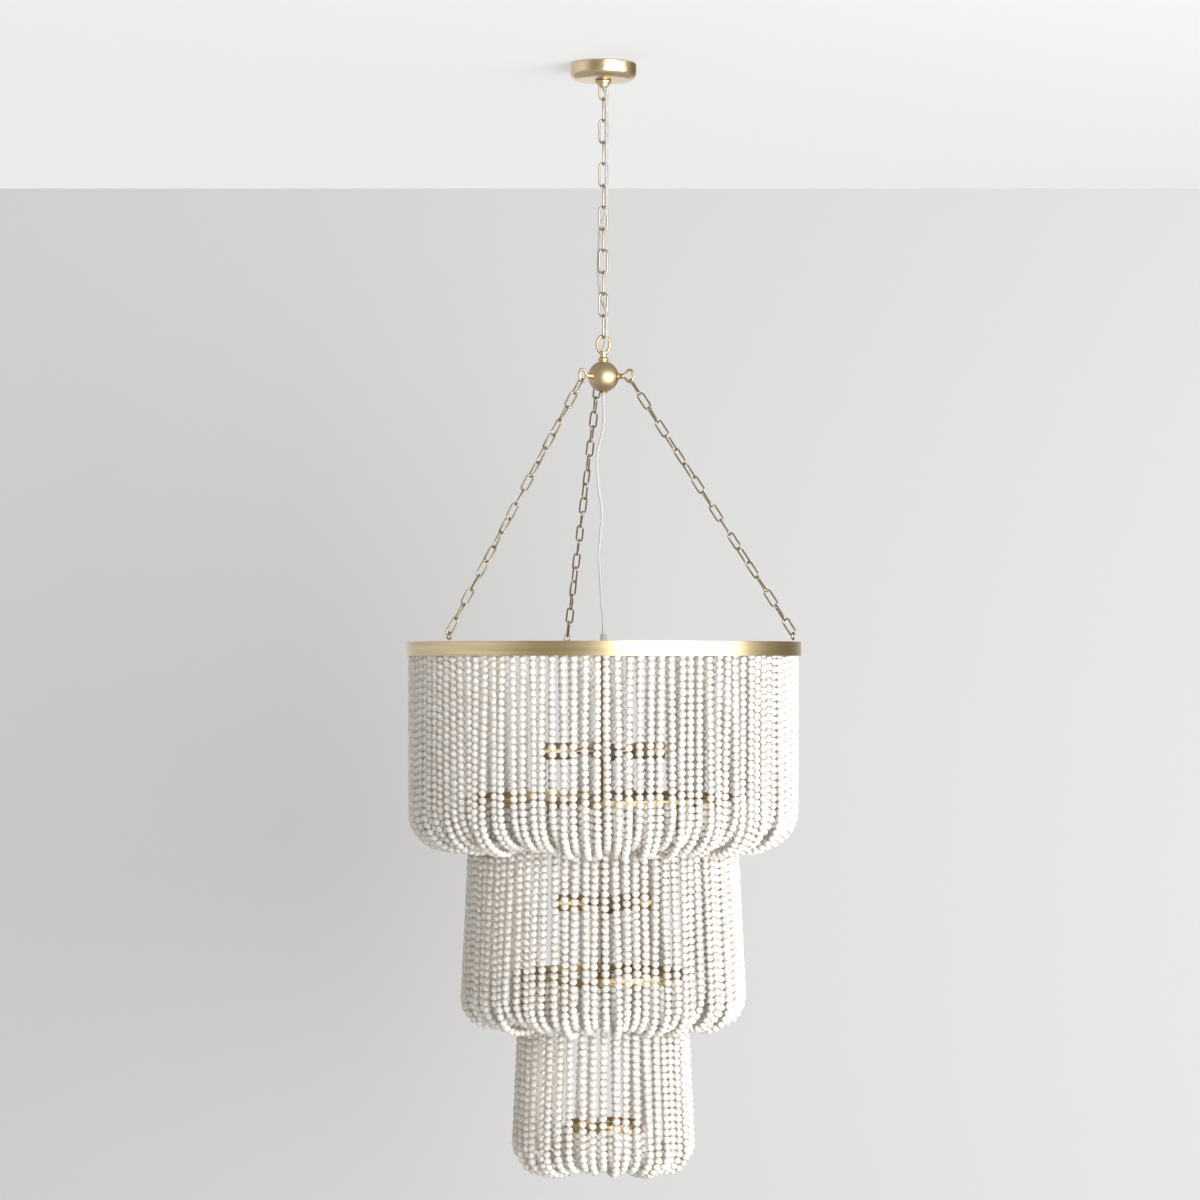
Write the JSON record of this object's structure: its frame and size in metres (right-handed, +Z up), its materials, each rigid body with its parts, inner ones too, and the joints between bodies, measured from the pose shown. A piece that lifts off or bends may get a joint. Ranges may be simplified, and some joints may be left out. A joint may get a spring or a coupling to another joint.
{
  "type": "beaded chandelier",
  "caption": "Hanging chandelier with a round canopy, a link chain, a ball with branch chains, a flat band and stepped tiers of bead strands round open lamp sockets.",
  "frame": {"origin": "on the ceiling plane, at the top face of the ceiling bracket, above the centre of the chain", "axes": "+Z up out of the bracket into the ceiling, which is the line of the chain and the longest extent; -Y towards the viewer, +X to the viewer's right"},
  "size_m": [0.64, 0.6414, 1.7939],
  "materials": {
    "satin_brass": "satin",
    "pale_brass": "satin",
    "zinc_steel": "zinc plated",
    "ivory_wood": "painted matt",
    "cream_plastic": "matt",
    "clear_plastic": "clear gloss"
  },
  "bodies": {
    "ceiling": {"ceiling_bracket": "zinc_steel", "bracket_nipple": "zinc_steel", "bracket_nut": "zinc_steel", "canopy_loop": "satin_brass"},
    "canopy": {"canopy_cover": "satin_brass"},
    "collar": {"collar_ring": "satin_brass"},
    "chain_top": {"main_link_01": "pale_brass"},
    "chain": {"main_link_02": "pale_brass", "main_link_03": "pale_brass", "main_link_04": "pale_brass", "main_link_05": "pale_brass", "main_link_06": "pale_brass", "main_link_07": "pale_brass", "main_link_08": "pale_brass", "main_link_09": "pale_brass", "main_link_10": "pale_brass", "upper_cord": "clear_plastic"},
    "chain_end": {"main_link_11": "pale_brass"},
    "shade": {"ball": "satin_brass", "ball_top_eye": "satin_brass", "cord_bushing": "clear_plastic", "ball_side_eye_1": "satin_brass", "ball_side_eye_2": "satin_brass", "ball_side_eye_3": "satin_brass", "branch_chain_1": "pale_brass", "branch_chain_2": "pale_brass", "branch_chain_3": "pale_brass", "band_ring": "pale_brass", "shade_spider": "satin_brass", "cord_gland": "clear_plastic", "centre_rod": "satin_brass", "rod_coupler": "satin_brass", "lower_rod": "satin_brass", "end_nut": "satin_brass", "inner_ring_1": "satin_brass", "inner_ring_2": "satin_brass", "inner_ring_3": "satin_brass", "bead_tier_1": "ivory_wood", "bead_tier_2": "ivory_wood", "bead_tier_3": "ivory_wood", "cluster_hub_1": "satin_brass", "cluster_hub_2": "satin_brass", "socket_1_1": "satin_brass", "socket_1_2": "satin_brass", "socket_1_3": "satin_brass", "socket_1_4": "satin_brass", "socket_2_1": "satin_brass", "socket_2_2": "satin_brass", "socket_2_3": "satin_brass", "socket_2_4": "satin_brass", "socket_insert_1_1": "cream_plastic", "socket_insert_1_2": "cream_plastic", "socket_insert_1_3": "cream_plastic", "socket_insert_1_4": "cream_plastic", "socket_insert_2_1": "cream_plastic", "socket_insert_2_2": "cream_plastic", "socket_insert_2_3": "cream_plastic", "socket_insert_2_4": "cream_plastic", "lower_cord": "clear_plastic"}
  },
  "joints": [
    {"name": "canopy_slide", "type": "slide", "parent": "ceiling", "child": "canopy", "axis": [0, 0, -1], "range_m": [0, 0.025]},
    {"name": "collar_turn", "type": "hinge", "parent": "canopy", "child": "collar", "pos_m": [0, 0, -0.0273], "axis": [0, 0, 1], "continuous": true},
    {"name": "chain_swing_x", "type": "hinge", "parent": "ceiling", "child": "chain_top", "pos_m": [0, 0, -0.0567], "axis": [1, 0, 0], "range_deg": [-15, 15], "deforming": ["upper_cord"]},
    {"name": "chain_swing_y", "type": "hinge", "parent": "chain_top", "child": "chain", "pos_m": [0, 0, -0.0918], "axis": [0, 1, 0], "range_deg": [-15, 15], "deforming": ["upper_cord"]},
    {"name": "shade_swing_x", "type": "hinge", "parent": "chain", "child": "chain_end", "pos_m": [0, 0, -0.4077], "axis": [1, 0, 0], "range_deg": [-15, 15], "deforming": ["upper_cord"]},
    {"name": "shade_swing_y", "type": "hinge", "parent": "chain_end", "child": "shade", "pos_m": [0, 0, -0.4428], "axis": [0, 1, 0], "range_deg": [-15, 15], "deforming": ["upper_cord"]}
  ]
}
